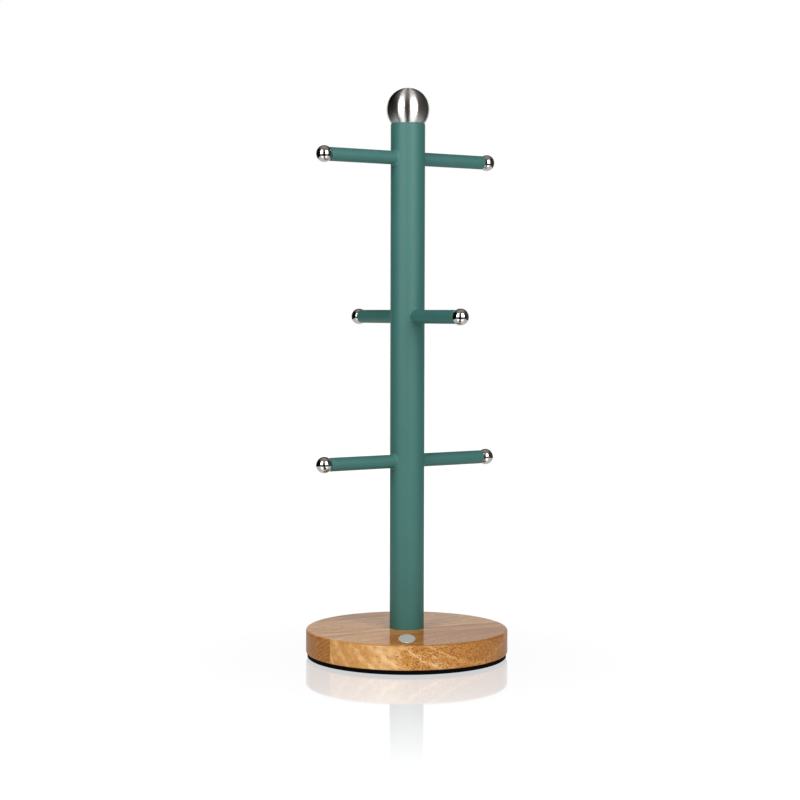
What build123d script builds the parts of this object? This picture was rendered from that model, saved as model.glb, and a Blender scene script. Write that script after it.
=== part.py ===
from build123d import *

import os
from math import sqrt

# A free-standing mug tree: a powder-coated steel tube on a round edge-glued wooden base, with three
# rods welded through it. Each rod ends in two screwed-on balls, and a larger ball crowns the tube.
# The origin is the centre of the pad's underside, +Z runs up the post and -Y is the badge's side.
# All lengths are millimetres and all angles are degrees.

# Base, bottom to top: a non-slip pad under a wooden disc.
BASE_RADIUS = 75.0
PAD_RADIUS = 74.0
PAD_THICKNESS = 3.0
PAD_HOLE_RADIUS = 15.0
PAD_EDGE_ROUND = 0.5
WOOD_THICKNESS = 18.0
WOOD_TOP_ROUND = 1.6
WOOD_FOOT_ROUND = 1.5
BASE_TOP = PAD_THICKNESS + WOOD_THICKNESS

# The wood is glued up from staves. Seams run along this heading, counted from +X towards +Y.
# Offsets are counted from the post's axis towards the front right.
SEAM_HEADING = 24.5
SEAM_OFFSETS = (-49.0, 3.5, 23.2)
STAVE_NAMES = ("base_stave_back", "base_stave_centre", "base_stave_narrow", "base_stave_front")

# Badge: a plain oval plate let into the top of the base, in front of the post.
BADGE_WIDTH = 12.0
BADGE_LENGTH = 34.0
BADGE_CENTRE_Y = -47.0
BADGE_THICKNESS = 1.0
BADGE_RECESS = 0.8
BADGE_GAP = 0.05
BADGE_EDGE_ROUND = 0.15
BADGE_GROOVE_INSET = 1.3
BADGE_GROOVE_WIDTH = 0.5
BADGE_GROOVE_DEPTH = 0.15

# Post: a 25.4 mm tube with a 1 mm wall, standing on the wood.
POST_RADIUS = 12.7
POST_WALL = 1.0
POST_BORE = POST_RADIUS - POST_WALL
POST_TOP = 394.2
POST_TOP_ROUND = 0.8

# Cross rods: name, height of the rod's axis and heading of its right-hand end.
ARM_LEVELS = (("upper", 368.8, 34.0), ("middle", 252.5, -59.0), ("lower", 145.7, 34.0))
ROD_RADIUS = 5.0
ROD_END_ROUND = 0.8
ROD_HOLE_RADIUS = 5.8
WELD_ROUND = 1.8
WELD_REACH = 20.0

# Ball ends: each has a small flat that meets the rod's end face.
BALL_RADIUS = 6.0
BALL_REACH = 72.2
BALL_FLAT_RADIUS = ROD_RADIUS - ROD_END_ROUND
BALL_FLAT = sqrt(BALL_RADIUS**2 - BALL_FLAT_RADIUS**2)
ROD_HALF_LENGTH = BALL_REACH - BALL_FLAT

# M4 studs that join the balls to the rods.
BALL_STUD_RADIUS = 2.0
BALL_STUD_IN_ROD = 9.0
BALL_STUD_IN_BALL = 6.5
STUD_HOLE_SPARE = 0.8

# Finial: a hollow ball seated on the tube's rim, pulled down by an M6 stud.
FINIAL_RADIUS = 16.0
FINIAL_WALL = 1.2
FINIAL_CENTRE = 404.4
FINIAL_INSERT_RADIUS = 5.5
FINIAL_INSERT_HEIGHT = 13.0
FINIAL_INSERT_FOOT = FINIAL_CENTRE - sqrt(FINIAL_RADIUS**2 - FINIAL_INSERT_RADIUS**2)
FINIAL_STUD_RADIUS = 3.0
FINIAL_STUD_LENGTH = 24.0
TOP_PLUG_TOP = 386.0
TOP_PLUG_HEIGHT = 8.0
TOP_PLUG_BEVEL = 0.8

# M8 button-head bolt, washers and the plug that the bolt pulls on.
BOLT_RADIUS = 4.0
BOLT_LENGTH = 25.0
BOLT_HEAD_RADIUS = 7.0
BOLT_HEAD_HEIGHT = 4.4
BOLT_HEAD_ROUND = 3.2
BOLT_END_BEVEL = 0.6
SOCKET_ACROSS_FLATS = 5.0
SOCKET_DEPTH = 2.6
WOOD_HOLE_RADIUS = 4.5
COUNTERBORE_RADIUS = 12.6
COUNTERBORE_DEPTH = 9.0
FLAT_WASHER_RADIUS = 12.0
FLAT_WASHER_THICKNESS = 2.0
WASHER_HOLE_RADIUS = 4.2
SPRING_WASHER_RADIUS = 7.4
SPRING_WASHER_THICKNESS = 2.0
SPRING_WASHER_SLIT = 1.0
FOOT_PLUG_HEIGHT = 14.0
FOOT_PLUG_BEVEL = 0.8

FLAT_WASHER_TOP = PAD_THICKNESS + COUNTERBORE_DEPTH
SPRING_WASHER_TOP = FLAT_WASHER_TOP - FLAT_WASHER_THICKNESS
BOLT_HEAD_TOP = SPRING_WASHER_TOP - SPRING_WASHER_THICKNESS


def upright(radius, low, high):
    """A round bar on the post's axis, between two heights."""
    return Pos(0, 0, (low + high) / 2) * Cylinder(radius, high - low)


def level(radius, near, far):
    """A round bar along +X, between two distances from the post's axis."""
    return Pos((near + far) / 2, 0, 0) * Rot(0, 90, 0) * Cylinder(radius, far - near)


def edges_at(part, axis, place):
    """The edges that lie wholly in the plane at one place along an axis."""
    return part.edges().filter_by_position(axis, place - 0.01, place + 0.01)


def badge_oval(inset, low, high):
    """An upright slab with the badge's oval outline, drawn in by an inset."""
    oval = Ellipse(BADGE_WIDTH / 2 - inset, BADGE_LENGTH / 2 - inset)
    return Pos(0, BADGE_CENTRE_Y, low) * extrude(oval, high - low)


def wood_disc():
    """The whole base before it is divided into staves."""
    disc = upright(BASE_RADIUS, PAD_THICKNESS, BASE_TOP)
    disc = fillet(edges_at(disc, Axis.Z, BASE_TOP), WOOD_TOP_ROUND)
    disc = fillet(edges_at(disc, Axis.Z, PAD_THICKNESS), WOOD_FOOT_ROUND)
    disc -= upright(WOOD_HOLE_RADIUS, 0, BASE_TOP + 1)
    disc -= upright(COUNTERBORE_RADIUS, 0, FLAT_WASHER_TOP)
    return disc - badge_oval(-BADGE_GAP, BASE_TOP - BADGE_RECESS, BASE_TOP + 1)


def staves():
    """The base's staves, from back to front, each the disc between two seams."""
    disc = wood_disc()
    seams = (-BASE_RADIUS - 1, *SEAM_OFFSETS, BASE_RADIUS + 1)
    pieces = {}
    for name, rear, front in zip(STAVE_NAMES, seams, seams[1:]):
        strip = Pos(0, -(rear + front) / 2, BASE_TOP / 2) * Box(
            3 * BASE_RADIUS, front - rear, 2 * BASE_TOP
        )
        pieces[name] = disc & (Rot(0, 0, SEAM_HEADING) * strip)
    return pieces


def non_slip_pad():
    """The black pad under the wood, open in the middle to reach the bolt."""
    pad = upright(PAD_RADIUS, 0, PAD_THICKNESS)
    pad = fillet(edges_at(pad, Axis.Z, 0), PAD_EDGE_ROUND)
    return pad - upright(PAD_HOLE_RADIUS, -1, PAD_THICKNESS + 1)


def badge_plate():
    """The oval plate, with a fine groove just inside its edge."""
    foot = BASE_TOP - BADGE_RECESS
    top = foot + BADGE_THICKNESS
    plate = badge_oval(0, foot, top)
    plate = fillet(edges_at(plate, Axis.Z, top), BADGE_EDGE_ROUND)
    groove = badge_oval(BADGE_GROOVE_INSET, top - BADGE_GROOVE_DEPTH, top + 1)
    groove -= badge_oval(BADGE_GROOVE_INSET + BADGE_GROOVE_WIDTH, 0, top + 2)
    return plate - groove


def base_bolt():
    """The bolt, head down in the counterbore, with its hexagon socket facing the floor."""
    head_foot = BOLT_HEAD_TOP - BOLT_HEAD_HEIGHT
    head = upright(BOLT_HEAD_RADIUS, head_foot, BOLT_HEAD_TOP)
    head = fillet(edges_at(head, Axis.Z, head_foot), BOLT_HEAD_ROUND)
    hexagon = RegularPolygon(SOCKET_ACROSS_FLATS / 2, 6, major_radius=False)
    head -= Pos(0, 0, head_foot - 1) * extrude(hexagon, SOCKET_DEPTH + 1)
    tip = BOLT_HEAD_TOP + BOLT_LENGTH
    shank = upright(BOLT_RADIUS, BOLT_HEAD_TOP, tip)
    shank = chamfer(edges_at(shank, Axis.Z, tip), BOLT_END_BEVEL)
    return head + shank


def flat_washer():
    """The wide washer that spreads the bolt's pull over the wood."""
    washer = upright(FLAT_WASHER_RADIUS, SPRING_WASHER_TOP, FLAT_WASHER_TOP)
    return washer - upright(WASHER_HOLE_RADIUS, 0, BASE_TOP)


def spring_washer():
    """The split lock washer, drawn flat, as it is when the bolt is tight."""
    washer = upright(SPRING_WASHER_RADIUS, BOLT_HEAD_TOP, SPRING_WASHER_TOP)
    washer -= upright(WASHER_HOLE_RADIUS, 0, BASE_TOP)
    slit = Box(2 * SPRING_WASHER_RADIUS, SPRING_WASHER_SLIT, 2 * BASE_TOP)
    return washer - Pos(SPRING_WASHER_RADIUS, 0, 0) * slit


def post_tube():
    """The tube, drilled across for the rods, its rim dished to seat the finial."""
    tube = upright(POST_RADIUS, BASE_TOP, POST_TOP)
    tube = fillet(edges_at(tube, Axis.Z, POST_TOP), POST_TOP_ROUND)
    tube -= upright(POST_BORE, BASE_TOP - 1, POST_TOP + 1)
    tube -= Pos(0, 0, FINIAL_CENTRE) * Sphere(FINIAL_RADIUS)
    for _, height, heading in ARM_LEVELS:
        hole = level(ROD_HOLE_RADIUS, -WELD_REACH, WELD_REACH)
        tube -= Pos(0, 0, height) * Rot(0, 0, heading) * hole
    return tube


def post_foot_plug():
    """The tapped plug welded into the tube's foot."""
    plug = upright(POST_BORE, BASE_TOP, BASE_TOP + FOOT_PLUG_HEIGHT)
    plug = chamfer(edges_at(plug, Axis.Z, BASE_TOP + FOOT_PLUG_HEIGHT), FOOT_PLUG_BEVEL)
    return plug - upright(BOLT_RADIUS, 0, POST_TOP)


def post_top_plug():
    """The tapped plug pressed into the tube's head, which the finial's stud screws into."""
    foot = TOP_PLUG_TOP - TOP_PLUG_HEIGHT
    plug = upright(POST_BORE, foot, TOP_PLUG_TOP)
    plug = chamfer(edges_at(plug, Axis.Z, foot), TOP_PLUG_BEVEL)
    return plug - upright(FINIAL_STUD_RADIUS, 0, POST_TOP)


def finial_ball():
    """The hollow ball, open below where its threaded insert is welded in."""
    ball = Sphere(FINIAL_RADIUS) - Sphere(FINIAL_RADIUS - FINIAL_WALL)
    return Pos(0, 0, FINIAL_CENTRE) * ball - upright(FINIAL_INSERT_RADIUS, 0, FINIAL_CENTRE)


def finial_stud():
    """The M6 stud between the top plug and the finial's insert."""
    foot = TOP_PLUG_TOP - TOP_PLUG_HEIGHT
    return upright(FINIAL_STUD_RADIUS, foot, foot + FINIAL_STUD_LENGTH)


def finial_insert():
    """The blind threaded bush inside the finial."""
    bush = upright(FINIAL_INSERT_RADIUS, FINIAL_INSERT_FOOT, FINIAL_INSERT_FOOT + FINIAL_INSERT_HEIGHT)
    stud_tip = TOP_PLUG_TOP - TOP_PLUG_HEIGHT + FINIAL_STUD_LENGTH
    return bush - upright(FINIAL_STUD_RADIUS, 0, stud_tip)


def cross_rod():
    """A rod along X with rounded ends, tapped at both ends."""
    rod = level(ROD_RADIUS, -ROD_HALF_LENGTH, ROD_HALF_LENGTH)
    for end in (-ROD_HALF_LENGTH, ROD_HALF_LENGTH):
        rod = fillet(edges_at(rod, Axis.X, end), ROD_END_ROUND)
    tapped = level(
        BALL_STUD_RADIUS, ROD_HALF_LENGTH - BALL_STUD_IN_ROD - STUD_HOLE_SPARE, ROD_HALF_LENGTH + 1
    )
    return rod - tapped - Rot(0, 0, 180) * tapped


def ball_end():
    """A ball at the +X end of a rod, with its flat and tapped hole facing the rod."""
    ball = Pos(BALL_REACH, 0, 0) * Sphere(BALL_RADIUS)
    ball -= level(BALL_RADIUS, ROD_HALF_LENGTH - BALL_RADIUS, ROD_HALF_LENGTH)
    hole_end = ROD_HALF_LENGTH + BALL_STUD_IN_BALL + STUD_HOLE_SPARE
    return ball - level(BALL_STUD_RADIUS, ROD_HALF_LENGTH - 1, hole_end)


def ball_stud():
    """The headless M4 stud half in the rod's +X end and half in its ball."""
    return level(
        BALL_STUD_RADIUS, ROD_HALF_LENGTH - BALL_STUD_IN_ROD, ROD_HALF_LENGTH + BALL_STUD_IN_BALL
    )


def weld_beads():
    """The two rings of weld that fill a rod's holes in the post and round off its roots."""
    # The post's own seam edge is turned away from the rod, so that each root is one closed edge.
    post = Rot(0, 0, 90) * Cylinder(POST_RADIUS, 2 * WELD_REACH)
    rod = level(ROD_RADIUS, -WELD_REACH, WELD_REACH)
    joint = post + rod
    roots = joint.edges().filter_by(GeomType.BSPLINE)
    beads = fillet(roots, WELD_ROUND) - post - rod
    wall = post - Cylinder(POST_BORE, 2 * WELD_REACH)
    filling = wall & level(ROD_HOLE_RADIUS, -WELD_REACH, WELD_REACH)
    return (beads + (filling - rod)).solids()


def arm_placements():
    """Each rod's name and place, and the place of each of its two ends."""
    for name, height, heading in ARM_LEVELS:
        right = Pos(0, 0, height) * Rot(0, 0, heading)
        left = Pos(0, 0, height) * Rot(0, 0, heading + 180)
        yield name, right, {"right": right, "left": left}


def arms():
    """The rods, ball ends, studs and weld beads at all three levels."""
    pieces = {}
    studs = []
    beads = []
    for name, place, ends in arm_placements():
        pieces[f"{name}_rod"] = place * cross_rod()
        beads += [place * bead for bead in weld_beads()]
        for side, end in ends.items():
            pieces[f"ball_{name}_{side}"] = end * ball_end()
            studs.append(end * ball_stud())
    pieces["ball_studs"] = Compound(studs)
    pieces["arm_welds"] = Compound(beads)
    return pieces


pieces = {
    **staves(),
    "non_slip_pad": non_slip_pad(),
    "badge_plate": badge_plate(),
    "base_bolt": base_bolt(),
    "flat_washer": flat_washer(),
    "spring_washer": spring_washer(),
    "post_tube": post_tube(),
    "post_foot_plug": post_foot_plug(),
    "post_top_plug": post_top_plug(),
    "finial_stud": finial_stud(),
    "finial_insert": finial_insert(),
    "finial_ball": finial_ball(),
    **arms(),
}

os.makedirs("parts", exist_ok=True)
for name, piece in pieces.items():
    export_step(piece, f"parts/{name}.step")
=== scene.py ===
from collections import namedtuple
from math import cos, pi, radians, sin

import bpy
from mathutils import Matrix, Vector

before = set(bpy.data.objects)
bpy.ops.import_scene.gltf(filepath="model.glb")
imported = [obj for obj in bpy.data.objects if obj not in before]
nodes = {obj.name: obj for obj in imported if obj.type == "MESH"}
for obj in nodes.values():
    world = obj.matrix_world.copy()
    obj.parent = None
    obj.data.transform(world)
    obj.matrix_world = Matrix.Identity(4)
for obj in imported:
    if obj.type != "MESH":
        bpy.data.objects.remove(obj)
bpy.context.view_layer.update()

MM = 0.001

# Camera: where it stands in front of the base, how high, and how it is turned.
CAMERA_LENS = 82.2
CAMERA_RIGHT = -5.4 * MM
CAMERA_DISTANCE = 1352.0 * MM
CAMERA_HEIGHT = 256.1 * MM
CAMERA_PITCH = radians(2.767)
CAMERA_ROLL = radians(0.129)

# Softboxes: two tall ones either side of the camera, each with its bearing and its width.
SOFTBOXES = {"softbox_left": (-37.0, 530 * MM), "softbox_right": (32.4, 630 * MM)}
SOFTBOX_DISTANCE = 900 * MM
SOFTBOX_LOW = 240 * MM
SOFTBOX_HIGH = 1170 * MM
SOFTBOX_RADIANCE = 5.4

# Table: its edges, how white it is to the object and to the camera, its gloss to the camera with
# the distances from the post over which that fades, and how strongly the object sees it mirror.
TABLE_FRONT = -500 * MM
TABLE_BACK = 2000 * MM
TABLE_SIDE = 600 * MM
TABLE_WHITE = 0.70
TABLE_SEEN_WHITE = 1.10
TABLE_GLOSS = 0.44
TABLE_GLOSS_REACH = (30 * MM, 460 * MM)
TABLE_GLOSS_ROUGHNESS = 0.05
TABLE_MIRROR = 0.30

# Aisle: the dark strip of table in front of the object that only the object sees.
AISLE_CENTRE = -12 * MM
AISLE_HALF = 60 * MM
AISLE_SIDE_BLUR = 10 * MM
AISLE_END = -95 * MM
AISLE_END_BLUR = 30 * MM
AISLE_WHITE = 0.04

# Background: a white sweep behind the table, and a veil round everything that only the table mirrors.
SWEEP_SIDE = 1500 * MM
SWEEP_HEIGHT = 1000 * MM
SWEEP_WHITE = 1.0
VEIL_RADIUS = 1800 * MM
VEIL_WHITE = 1.0

# Room: what the object mirrors beyond the studio, from left to right and overhead.
ROOM_LEFT = (0.008, 0.006, 0.004, 1.0)
ROOM_RIGHT = (0.06, 0.052, 0.045, 1.0)
ROOM_SIDES = (-0.6, 0.8)
ROOM_OVERHEAD = (0.40, 0.36, 0.32, 1.0)
ROOM_OVERHEAD_FROM = 0.6
WHITE = (1.0, 1.0, 1.0, 1.0)

# Finishes: the darker and lighter linear colours, the span of the pattern over which the roughness
# changes, the roughness at both ends of it, and the depth of the surface's relief.
Finish = namedtuple("Finish", "dark light span rough relief")
POWDER_COAT = Finish(
    (0.034, 0.132, 0.116, 1.0), (0.041, 0.150, 0.133, 1.0), (0.2, 0.8), (0.50, 0.56), 0.018 * MM
)
CHROME = Finish((0.54, 0.535, 0.53, 1.0), (0.62, 0.615, 0.61, 1.0), (0.35, 0.75), (0.025, 0.07), 0.003 * MM)
STEEL = Finish((0.62, 0.61, 0.60, 1.0), (0.74, 0.73, 0.72, 1.0), (0.3, 0.7), (0.28, 0.33), 0.003 * MM)
RUBBER = Finish(
    (0.0006, 0.0006, 0.0006, 1.0), (0.0016, 0.0016, 0.0016, 1.0), (0.2, 0.8), (0.75, 0.9), 0.08 * MM
)
ZINC = Finish((0.46, 0.47, 0.49, 1.0), (0.60, 0.61, 0.62, 1.0), (0.3, 0.7), (0.28, 0.42), 0.01 * MM)
BADGE = Finish((0.66, 0.63, 0.60, 1.0), (0.82, 0.79, 0.76, 1.0), (0.3, 0.7), (0.34, 0.46), 0.008 * MM)

# Wood: the heading of its grain, counted from +X towards +Y, its colours and its lacquer.
GRAIN_HEADING = 24.5
PALE_WOOD = (0.80, 0.52, 0.26, 1.0)
MIDDLE_WOOD = (0.53, 0.25, 0.062, 1.0)
DEEP_WOOD = (0.32, 0.115, 0.014, 1.0)
VESSEL_WOOD = (0.23, 0.066, 0.009, 1.0)
WOOD_ROUGHNESS = (0.38, 0.52)
WOOD_RELIEF = 0.012 * MM
LACQUER = {"Coat Weight": 0.48, "Coat Roughness": 0.11, "Coat IOR": 1.5}

# Figure: how far the pith wanders, in millimetres, how strongly the cloud, the blotches and the
# fibre move the tone, and the tones over which pale wood turns middling and middling wood deep.
PITH_WANDER = 14.0
FIGURE_SHARES = (0.6, 0.6, 0.35)
PALE_TO_MIDDLE = (0.0, 0.5)
MIDDLE_TO_DEEP = (0.4, 1.1)
FACING_UP = (0.2, 0.9)

# Vessel marks: how far they are squeezed along the grain, and for the coarse and the small ones how
# many there are room for in a millimetre and how large each is in its own cell.
VESSEL_SQUEEZE = 0.4
COARSE_VESSELS = (1.0, 0.50)
SMALL_VESSELS = (1.7, 0.52)
SMALL_VESSEL_STRENGTH = 0.8
VESSEL_STRENGTH = 0.95

# Seams: the half-widths in millimetres at which a glue line fades out and is full, how strong it
# is, and how far out across the grain a stave's edge still counts as a seam.
SEAM_LINE = (0.5, 0.15)
SEAM_STRENGTH = 0.6
OUTERMOST_SEAM = 70.0

# Each stave's wood: a seed, how many degrees its grain dips along its heading, where its pith lies
# across the grain and up, its rings' width, where in a ring the dark wood begins and is full, and
# how strongly the rings show. The tones of its rim and top and its crowding with vessel marks are
# stops along the grain; a tone runs from 0, pale, to 1, deep.
Stave = namedtuple("Stave", "seed dip pith ring_width late_from contrast rim top crowding")
FINE = (0.1, 0.85)
STREAKY = (0.0, 0.3)
DEEP_RIM = ((-60.0, 1.0), (45.0, 0.75))
FEW = ((-50.0, 0.2), (50.0, 0.2))
STAVES = {
    "front": Stave(
        seed=1, dip=24.0, pith=(-158.0, 116.0), ring_width=12.0, late_from=STREAKY, contrast=0.14,
        # On the front rim the pale stop near -46 mm is partly the wood's own tone and partly a painted
        # highlight where the left softbox reflects in the lacquer.
        rim=((-68.0, 0.42), (-46.0, 0.20), (-30.0, 0.38), (-12.0, 0.38), (60.0, 0.80)),
        top=((-60.0, 0.45), (30.0, 0.74)),
        crowding=((-42.0, 0.05), (-24.0, 1.5), (10.0, 1.6), (40.0, 3.0)),
    ),
    "narrow": Stave(
        seed=2, dip=0.0, pith=(-44.0, -39.0), ring_width=3.0, late_from=FINE, contrast=0.45,
        rim=DEEP_RIM, top=((-60.0, 0.52), (30.0, 0.78)), crowding=FEW,
    ),
    "centre": Stave(
        seed=3, dip=0.0, pith=(-44.0, -39.0), ring_width=3.2, late_from=FINE, contrast=0.42,
        rim=DEEP_RIM, top=((-60.0, 0.48), (30.0, 0.44)), crowding=FEW,
    ),
    "back": Stave(
        seed=4, dip=5.0, pith=(70.0, -20.0), ring_width=5.0, late_from=FINE, contrast=0.25,
        rim=((-60.0, 0.75), (45.0, 0.70)), top=((-60.0, 0.85), (30.0, 0.65)),
        crowding=((-50.0, 0.35), (50.0, 0.35)),
    ),
}
SEED_SHIFT = 137.0


# ---------------------------------------------------------------- node trees


def feed(tree, socket, value):
    """Links a socket to another node's output, or sets it to a plain value."""
    if isinstance(value, bpy.types.NodeSocket):
        tree.links.new(value, socket)
    else:
        socket.default_value = value


def add(tree, kind, inputs=None, **settings):
    """A shader node with its settings and inputs."""
    made = tree.nodes.new("ShaderNode" + kind)
    for name, value in settings.items():
        setattr(made, name, value)
    for name, value in (inputs or {}).items():
        feed(tree, made.inputs[name], value)
    return made


def maths(tree, operation, *values):
    """The result socket of a Math node."""
    made = add(tree, "Math", operation=operation)
    for socket, value in zip(made.inputs, values):
        feed(tree, socket, value)
    return made.outputs[0]


def vector(tree, operation, *values):
    """The result socket of a Vector Math node."""
    made = add(tree, "VectorMath", operation=operation)
    for socket, value in zip(made.inputs, values):
        feed(tree, socket, value)
    return made.outputs["Value" if operation == "LENGTH" else "Vector"]


def spread(tree, value, low, high, to_low=0.0, to_high=1.0):
    """A value carried smoothly from one range to another."""
    inputs = {"Value": value, "From Min": low, "From Max": high, "To Min": to_low, "To Max": to_high}
    return add(tree, "MapRange", inputs, interpolation_type="SMOOTHSTEP").outputs[0]


def along(tree, place, stops):
    """A value carried smoothly from stop to stop; a stop is a place in millimetres and a value."""
    value = stops[0][1]
    for (start, before), (end, after) in zip(stops, stops[1:]):
        value = maths(tree, "ADD", spread(tree, place, start, end, 0.0, after - before), value)
    return value


def noise(tree, coords, scale, detail=3.0, roughness=0.5):
    """The value socket of a noise texture; scale counts features per millimetre."""
    inputs = {"Vector": coords, "Scale": scale, "Detail": detail, "Roughness": roughness}
    return add(tree, "TexNoise", inputs).outputs["Fac"]


def mix(tree, factor, first, second):
    """The colour socket of a Mix node."""
    made = add(tree, "Mix", data_type="RGBA")
    for socket, value in zip((made.inputs[0], made.inputs[6], made.inputs[7]), (factor, first, second)):
        feed(tree, socket, value)
    return made.outputs[2]


def bump(tree, height, depth):
    """The normal socket of a Bump node; depth is in metres for a height of one."""
    return add(tree, "Bump", {"Height": height, "Distance": depth, "Strength": 1.0}).outputs[0]


def new_material(name, settings):
    """A material with one Principled shader, its tree and that shader."""
    material = bpy.data.materials.new(name)
    material.use_nodes = True
    tree = material.node_tree
    tree.nodes.clear()
    shader = add(tree, "BsdfPrincipled", settings)
    add(tree, "OutputMaterial", {"Surface": shader.outputs[0]})
    return material, tree, shader


def millimetres(tree, turn=0.0):
    """The frame's coordinates in millimetres, turned about Z."""
    place = add(tree, "TexCoord").outputs["Object"]
    inputs = {"Vector": place, "Scale": (1 / MM,) * 3, "Rotation": (0.0, 0.0, turn)}
    return add(tree, "Mapping", inputs, vector_type="POINT").outputs[0]


def wire(tree, shader, **sockets):
    """Links sockets to the shader's inputs; underscores in a name stand for spaces."""
    for name, socket in sockets.items():
        tree.links.new(socket, shader.inputs[name.replace("_", " ")])


def dress_surface(tree, shader, finish, pattern, height):
    """Colours and roughens a surface by a pattern from 0 to 1, and embosses it by a height."""
    colour = mix(tree, pattern, finish.dark, finish.light)
    rough = spread(tree, pattern, *finish.span, *finish.rough)
    wire(tree, shader, Base_Color=colour, Roughness=rough, Normal=bump(tree, height, finish.relief))


# ----------------------------------------------------------------- materials


def powder_coat():
    """Muted blue-green powder coat: matte, with a fine orange-peel surface."""
    settings = {"IOR": 1.5, "Specular IOR Level": 0.45}
    material, tree, shader = new_material("powder_coat", settings)
    place = millimetres(tree)
    mottle = noise(tree, place, 0.05, 4)
    peel = noise(tree, place, 1.6, 2)
    grit = noise(tree, place, 7.0, 1)
    dress_surface(tree, shader, POWDER_COAT, mottle, maths(tree, "MULTIPLY_ADD", grit, 0.25, peel))
    return material


def polished_chrome():
    """Mirror chrome with a trace of handling haze."""
    material, tree, shader = new_material("polished_chrome", {"Metallic": 1.0})
    place = millimetres(tree)
    dress_surface(tree, shader, CHROME, noise(tree, place, 0.35, 4), noise(tree, place, 0.4, 1))
    return material


def turned_steel():
    """Steel brushed in circles about the post's axis, which draws highlights out along meridians."""
    settings = {"Metallic": 1.0, "Anisotropic": 1.0, "Anisotropic Rotation": 0.25}
    material, tree, shader = new_material("turned_steel", settings)
    lines = vector(tree, "MULTIPLY", millimetres(tree), (0.02, 0.02, 1.0))
    brushing = noise(tree, lines, 9.0)
    dress_surface(tree, shader, STEEL, brushing, brushing)
    around = add(tree, "Tangent", direction_type="RADIAL", axis="Z").outputs[0]
    wire(tree, shader, Tangent=around)
    return material


def black_rubber():
    """Matte black pad with a fine pebbled surface."""
    material, tree, shader = new_material("black_rubber", {"IOR": 1.5, "Specular IOR Level": 0.05})
    place = millimetres(tree)
    pebbles = add(tree, "TexVoronoi", {"Vector": place, "Scale": 1.1}).outputs["Distance"]
    dust = noise(tree, place, 0.08, 4)
    dress_surface(tree, shader, RUBBER, dust, maths(tree, "SUBTRACT", 1.0, pebbles))
    return material


def zinc_plate():
    """Bright zinc plating on the bolt, its washers and the hidden threaded pieces."""
    material, tree, shader = new_material("zinc_plate", {"Metallic": 1.0})
    grain = noise(tree, millimetres(tree), 0.9, 4)
    dress_surface(tree, shader, ZINC, grain, grain)
    return material


def satin_badge():
    """Silvered plate, fine-brushed along its length under a satin lacquer."""
    material, tree, shader = new_material("satin_badge", {"Metallic": 0.3, "IOR": 1.5})
    lines = vector(tree, "MULTIPLY", millimetres(tree), (1.0, 0.03, 1.0))
    brushing = noise(tree, lines, 5.0)
    dress_surface(tree, shader, BADGE, brushing, brushing)
    return material


def squeezed(tree, drifted, share):
    """Coordinates squeezed along the grain, which draws a pattern out along it."""
    return vector(tree, "MULTIPLY", drifted, (share, 1.0, 1.0))


def ring_phase(tree, grain, stretched, stave):
    """How far a point lies through its year ring, 0 to 1; the rings circle a wandering pith line."""
    sway = add(tree, "TexNoise", {"Vector": stretched, "Scale": 0.05, "Detail": 3.0}).outputs["Color"]
    sway = vector(tree, "SUBTRACT", sway, (0.5, 0.5, 0.5))
    bent = vector(tree, "ADD", grain, vector(tree, "MULTIPLY", sway, (0.0, PITH_WANDER, PITH_WANDER)))
    across = vector(tree, "MULTIPLY", bent, (0.0, 1.0, 1.0))
    radius = vector(tree, "LENGTH", vector(tree, "SUBTRACT", across, (0.0, *stave.pith)))
    return maths(tree, "FRACT", maths(tree, "DIVIDE", radius, stave.ring_width))


def flecks(tree, drifted, scale, size, density):
    """Dark vessel marks drawn out along the grain; the density socket says how many there are."""
    cells = squeezed(tree, drifted, VESSEL_SQUEEZE)
    cells = add(tree, "TexVoronoi", {"Vector": cells, "Scale": scale, "Randomness": 1.0})
    chance = add(tree, "SeparateColor", {0: cells.outputs["Color"]}).outputs["Red"]
    kept = maths(tree, "LESS_THAN", chance, density)
    mark = spread(tree, cells.outputs["Distance"], size, size * 0.45)
    return maths(tree, "MULTIPLY", mark, kept)


def vessel_marks(tree, drifted, place, late, blotch, stave):
    """Coarse and small vessel marks, most of them in the dark wood."""
    many = along(tree, place, stave.crowding)
    many = maths(tree, "MULTIPLY", many, maths(tree, "MULTIPLY_ADD", late, 0.6, 0.4))
    many = maths(tree, "MULTIPLY", many, spread(tree, blotch, 0.35, 0.55, 0.35, 1.0))
    coarse = flecks(tree, drifted, *COARSE_VESSELS, many)
    small = flecks(tree, drifted, *SMALL_VESSELS, many)
    return maths(tree, "MAXIMUM", coarse, maths(tree, "MULTIPLY", small, SMALL_VESSEL_STRENGTH))


def wood_figure(tree, grain, drifted, stave):
    """The rings' late wood, and the cloud, the blotches and the fibre that vary the tone."""
    stretched = squeezed(tree, drifted, 0.2)
    phase = ring_phase(tree, grain, stretched, stave)
    late = maths(tree, "MULTIPLY", spread(tree, phase, *stave.late_from), spread(tree, phase, 1.0, 0.9))
    cloud = noise(tree, stretched, 0.05)
    blotch = noise(tree, squeezed(tree, drifted, 0.35), 0.3, 4, 0.6)
    fibre = noise(tree, squeezed(tree, drifted, 0.05), 1.5, 4, 0.65)
    return late, cloud, blotch, fibre


def wood_tone(tree, place, upward, figure, stave):
    """The wood's tone, 0 for pale to 1 for deep: that of the rim or the top, varied by the figure."""
    tones = {2: along(tree, place, stave.rim), 3: along(tree, place, stave.top)}
    tone = add(tree, "Mix", {0: upward, **tones}).outputs[0]
    for share, socket in zip((stave.contrast, *FIGURE_SHARES), figure):
        tone = maths(tree, "MULTIPLY_ADD", maths(tree, "SUBTRACT", socket, 0.5), share, tone)
    return tone


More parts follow.
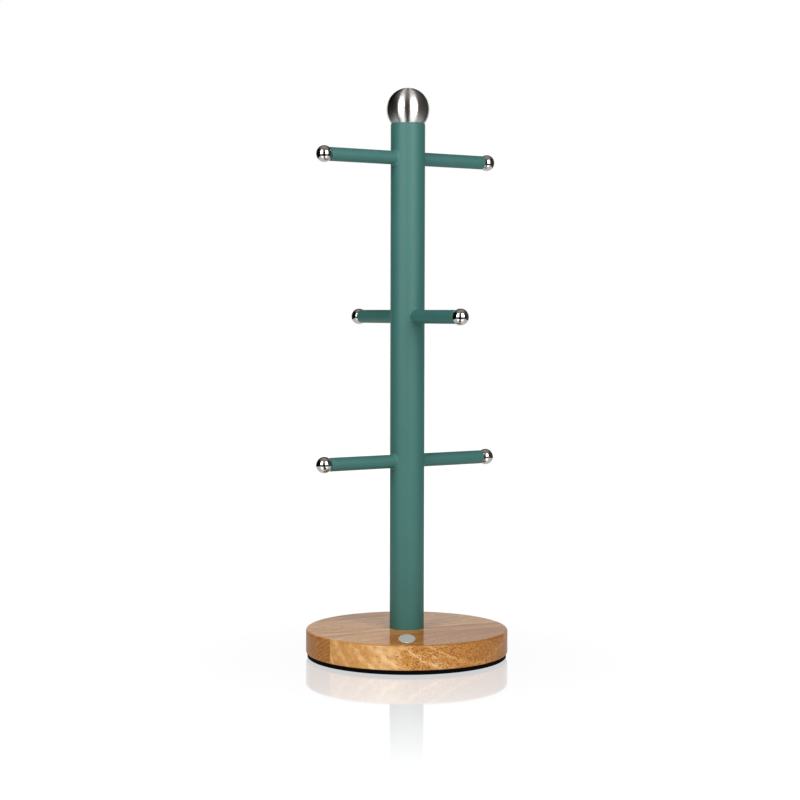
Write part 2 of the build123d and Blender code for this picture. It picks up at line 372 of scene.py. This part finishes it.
def wood_colour(tree, tone, vessels):
    """The colour for a tone, darkened by vessel marks."""
    colour = mix(tree, spread(tree, tone, *PALE_TO_MIDDLE), PALE_WOOD, MIDDLE_WOOD)
    colour = mix(tree, spread(tree, tone, *MIDDLE_TO_DEEP), colour, DEEP_WOOD)
    return mix(tree, maths(tree, "MULTIPLY", vessels, VESSEL_STRENGTH), colour, VESSEL_WOOD)


def seam_lines(tree, place, upward, edges, colour):
    """The colour with a fine pale glue line along each seam, on the top only."""
    strength = maths(tree, "MULTIPLY", upward, SEAM_STRENGTH)
    for edge in edges:
        off = maths(tree, "ABSOLUTE", maths(tree, "ADD", place, edge))
        line = maths(tree, "MULTIPLY", spread(tree, off, *SEAM_LINE), strength)
        colour = mix(tree, line, colour, PALE_WOOD)
    return colour


def lacquered_wood(name, stave, edges):
    """Satin-lacquered solid wood; edges are how far the stave's seams lie across the grain."""
    material, tree, shader = new_material(name, {"IOR": 1.5, "Specular IOR Level": 0.0, **LACQUER})
    flat = millimetres(tree, radians(-GRAIN_HEADING))
    place = add(tree, "SeparateXYZ", {0: flat}).outputs
    dip = {"Vector": flat, "Rotation": (0.0, radians(-stave.dip), 0.0)}
    grain = add(tree, "Mapping", dip, vector_type="POINT").outputs[0]
    drifted = vector(tree, "ADD", grain, (stave.seed * SEED_SHIFT, 0.0, 0.0))
    figure = wood_figure(tree, grain, drifted, stave)
    late, _, blotch, fibre = figure
    facing = add(tree, "SeparateXYZ", {0: add(tree, "TexCoord").outputs["Normal"]}).outputs["Z"]
    upward = spread(tree, facing, *FACING_UP)

    tone = wood_tone(tree, place["X"], upward, figure, stave)
    vessels = vessel_marks(tree, drifted, place["X"], late, blotch, stave)
    colour = seam_lines(tree, place["Y"], upward, edges, wood_colour(tree, tone, vessels))
    height = maths(tree, "SUBTRACT", maths(tree, "MULTIPLY", fibre, 0.3), vessels)
    rough = spread(tree, fibre, 0.2, 0.8, *WOOD_ROUGHNESS)
    wire(tree, shader, Base_Color=colour, Roughness=rough, Normal=bump(tree, height, WOOD_RELIEF))
    return material


def seam_edges(node):
    """How far a stave's glued edges lie across the grain, in millimetres, leaving out the rim."""
    turn = radians(GRAIN_HEADING)
    across = [(v.co.x * sin(turn) - v.co.y * cos(turn)) / MM for v in node.data.vertices]
    return [edge for edge in (min(across), max(across)) if abs(edge) < OUTERMOST_SEAM]


def paint(names, material):
    """Gives each named node one material."""
    for name in names:
        slots = nodes[name].data.materials
        slots.clear()
        slots.append(material)


def dress():
    """Every node's material."""
    levels = ("upper", "middle", "lower")
    rods = [f"{level}_rod" for level in levels]
    balls = [f"ball_{level}_{side}" for level in levels for side in ("left", "right")]
    paint(["post_tube", "arm_welds", *rods], powder_coat())
    paint(balls, polished_chrome())
    paint(["finial_ball"], turned_steel())
    paint(["non_slip_pad"], black_rubber())
    paint(["badge_plate"], satin_badge())
    threaded = ["base_bolt", "flat_washer", "spring_washer", "post_foot_plug", "post_top_plug"]
    paint([*threaded, "ball_studs", "finial_stud", "finial_insert"], zinc_plate())
    for name, stave in STAVES.items():
        node = f"base_stave_{name}"
        paint([node], lacquered_wood(f"wood_{name}", stave, seam_edges(nodes[node])))


# -------------------------------------------------------------------- studio


def camera():
    """The camera in front of the stand, turned down and rolled slightly."""
    data = bpy.data.cameras.new("camera")
    data.lens = CAMERA_LENS
    made = bpy.data.objects.new("camera", data)
    bpy.context.scene.collection.objects.link(made)
    ahead = Vector((0.0, cos(CAMERA_PITCH), -sin(CAMERA_PITCH)))
    up = Vector((0.0, sin(CAMERA_PITCH), cos(CAMERA_PITCH)))
    side = Vector((1.0, 0.0, 0.0))
    rolled_side = side * cos(CAMERA_ROLL) + up * sin(CAMERA_ROLL)
    rolled_up = up * cos(CAMERA_ROLL) - side * sin(CAMERA_ROLL)
    turn = Matrix((rolled_side, rolled_up, -ahead)).transposed().to_4x4()
    made.matrix_world = Matrix.Translation((CAMERA_RIGHT, -CAMERA_DISTANCE, CAMERA_HEIGHT)) @ turn
    bpy.context.scene.camera = made


def softbox(name, bearing, width):
    """A tall softbox facing the post; its bearing is counted from the front towards +X."""
    data = bpy.data.lights.new(name, "AREA")
    data.shape = "RECTANGLE"
    data.size = width
    data.size_y = SOFTBOX_HIGH - SOFTBOX_LOW
    data.energy = SOFTBOX_RADIANCE * data.size * data.size_y * pi
    made = bpy.data.objects.new(name, data)
    bpy.context.scene.collection.objects.link(made)
    angle = radians(bearing)
    height = (SOFTBOX_HIGH + SOFTBOX_LOW) / 2
    made.location = (SOFTBOX_DISTANCE * sin(angle), -SOFTBOX_DISTANCE * cos(angle), height)
    towards = Vector((-sin(angle), cos(angle), 0.0))
    made.rotation_mode = "QUATERNION"
    made.rotation_quaternion = towards.to_track_quat("-Z", "Y")


def sheet(name, corners, material):
    """A flat four-sided stage piece."""
    mesh = bpy.data.meshes.new(name)
    mesh.from_pydata(corners, [], [tuple(range(len(corners)))])
    made = bpy.data.objects.new(name, mesh)
    mesh.materials.append(material)
    bpy.context.scene.collection.objects.link(made)
    return made


def stage_material(name):
    """An empty stage material, its tree and the socket that its surface goes into."""
    material = bpy.data.materials.new(name)
    material.use_nodes = True
    tree = material.node_tree
    tree.nodes.clear()
    return material, tree, add(tree, "OutputMaterial").inputs["Surface"]


def blend(tree, factor, first, second):
    """The result socket of a Mix Shader node."""
    return add(tree, "MixShader", {0: factor, 1: first, 2: second}).outputs[0]


def aisle(tree):
    """One on the dark strip of table between the object and the camera, and nought elsewhere."""
    place = add(tree, "SeparateXYZ", {0: add(tree, "TexCoord").outputs["Object"]}).outputs
    aside = maths(tree, "ABSOLUTE", maths(tree, "SUBTRACT", place["X"], AISLE_CENTRE))
    inside = spread(tree, aside, AISLE_HALF + AISLE_SIDE_BLUR, AISLE_HALF - AISLE_SIDE_BLUR)
    ahead = spread(tree, place["Y"], AISLE_END, AISLE_END - AISLE_END_BLUR)
    return maths(tree, "MULTIPLY", inside, ahead)


def table_white():
    """The table: full white to the camera, dimmer to the object, with a gloss that fades away."""
    material, tree, surface = stage_material("table_white")
    seen = add(tree, "LightPath").outputs["Is Camera Ray"]
    strength = maths(tree, "MULTIPLY_ADD", seen, TABLE_SEEN_WHITE - TABLE_WHITE, TABLE_WHITE)
    glow = add(tree, "Emission", {"Strength": strength}).outputs[0]
    mirror = add(tree, "BsdfGlossy", {"Roughness": TABLE_GLOSS_ROUGHNESS}).outputs[0]
    reach = vector(tree, "LENGTH", add(tree, "TexCoord").outputs["Object"])
    fading = spread(tree, reach, *TABLE_GLOSS_REACH, TABLE_GLOSS, 0.0)
    share = add(tree, "Mix", {0: seen, 2: TABLE_MIRROR, 3: fading}).outputs[0]
    glow = blend(tree, share, glow, mirror)
    hidden = maths(tree, "MULTIPLY", aisle(tree), maths(tree, "SUBTRACT", 1.0, seen))
    glow = blend(tree, hidden, glow, add(tree, "Emission", {"Strength": AISLE_WHITE}).outputs[0])
    under = add(tree, "NewGeometry").outputs["Backfacing"]
    glow = blend(tree, under, glow, add(tree, "BsdfTransparent").outputs[0])
    tree.links.new(glow, surface)
    return material


def sweep_white():
    """The sweep's plain glow."""
    material, tree, surface = stage_material("sweep_white")
    tree.links.new(add(tree, "Emission", {"Strength": SWEEP_WHITE}).outputs[0], surface)
    return material


def veil_white():
    """A glow that lets everything behind it through."""
    material, tree, surface = stage_material("veil_white")
    material.cycles.emission_sampling = "NONE"
    glow = add(tree, "Emission", {"Strength": VEIL_WHITE}).outputs[0]
    clear = add(tree, "BsdfTransparent").outputs[0]
    tree.links.new(add(tree, "AddShader", {0: glow, 1: clear}).outputs[0], surface)
    return material


def lights_only(light, name, receivers):
    """Limits what a glowing stage piece lights."""
    collection = bpy.data.collections.new(name)
    for receiver in receivers:
        collection.objects.link(receiver)
    light.light_linking.receiver_collection = collection


def room():
    """The dim room round the studio, which is plain white to the camera."""
    world = bpy.data.worlds.new("room")
    bpy.context.scene.world = world
    world.use_nodes = True
    tree = world.node_tree
    tree.nodes.clear()
    heading = add(tree, "SeparateXYZ", {0: add(tree, "TexCoord").outputs["Generated"]}).outputs
    overhead = spread(tree, heading["Z"], ROOM_OVERHEAD_FROM, 1.0)
    walls = mix(tree, spread(tree, heading["X"], *ROOM_SIDES), ROOM_LEFT, ROOM_RIGHT)
    seen = add(tree, "LightPath").outputs["Is Camera Ray"]
    colour = mix(tree, seen, mix(tree, overhead, walls, ROOM_OVERHEAD), WHITE)
    shade = add(tree, "Background", {"Color": colour, "Strength": 1.0})
    add(tree, "OutputWorld", {"Surface": shade.outputs[0]})


def studio():
    """The table, the sweep behind it, the veil, the softboxes and the room round them."""
    x, near, far = TABLE_SIDE, TABLE_FRONT, TABLE_BACK
    corners = ((-x, near, 0.0), (x, near, 0.0), (x, far, 0.0), (-x, far, 0.0))
    table = sheet("table", corners, table_white())
    x, top = SWEEP_SIDE, SWEEP_HEIGHT
    corners = ((-x, far, 0.0), (x, far, 0.0), (x, far, top), (-x, far, top))
    sweep = sheet("sweep", corners, sweep_white())
    sweep.visible_camera = False
    lights_only(sweep, "lit_by_sweep", nodes.values())
    bpy.ops.mesh.primitive_uv_sphere_add(radius=VEIL_RADIUS, segments=48, ring_count=24)
    veil = bpy.context.object
    veil.name = "veil"
    veil.data.materials.append(veil_white())
    veil.visible_camera = False
    veil.visible_diffuse = False
    lights_only(veil, "lit_by_veil", [table])
    for name, (bearing, width) in SOFTBOXES.items():
        softbox(name, bearing, width)
    room()
    bpy.context.scene.view_settings.view_transform = "Standard"


camera()
studio()
dress()
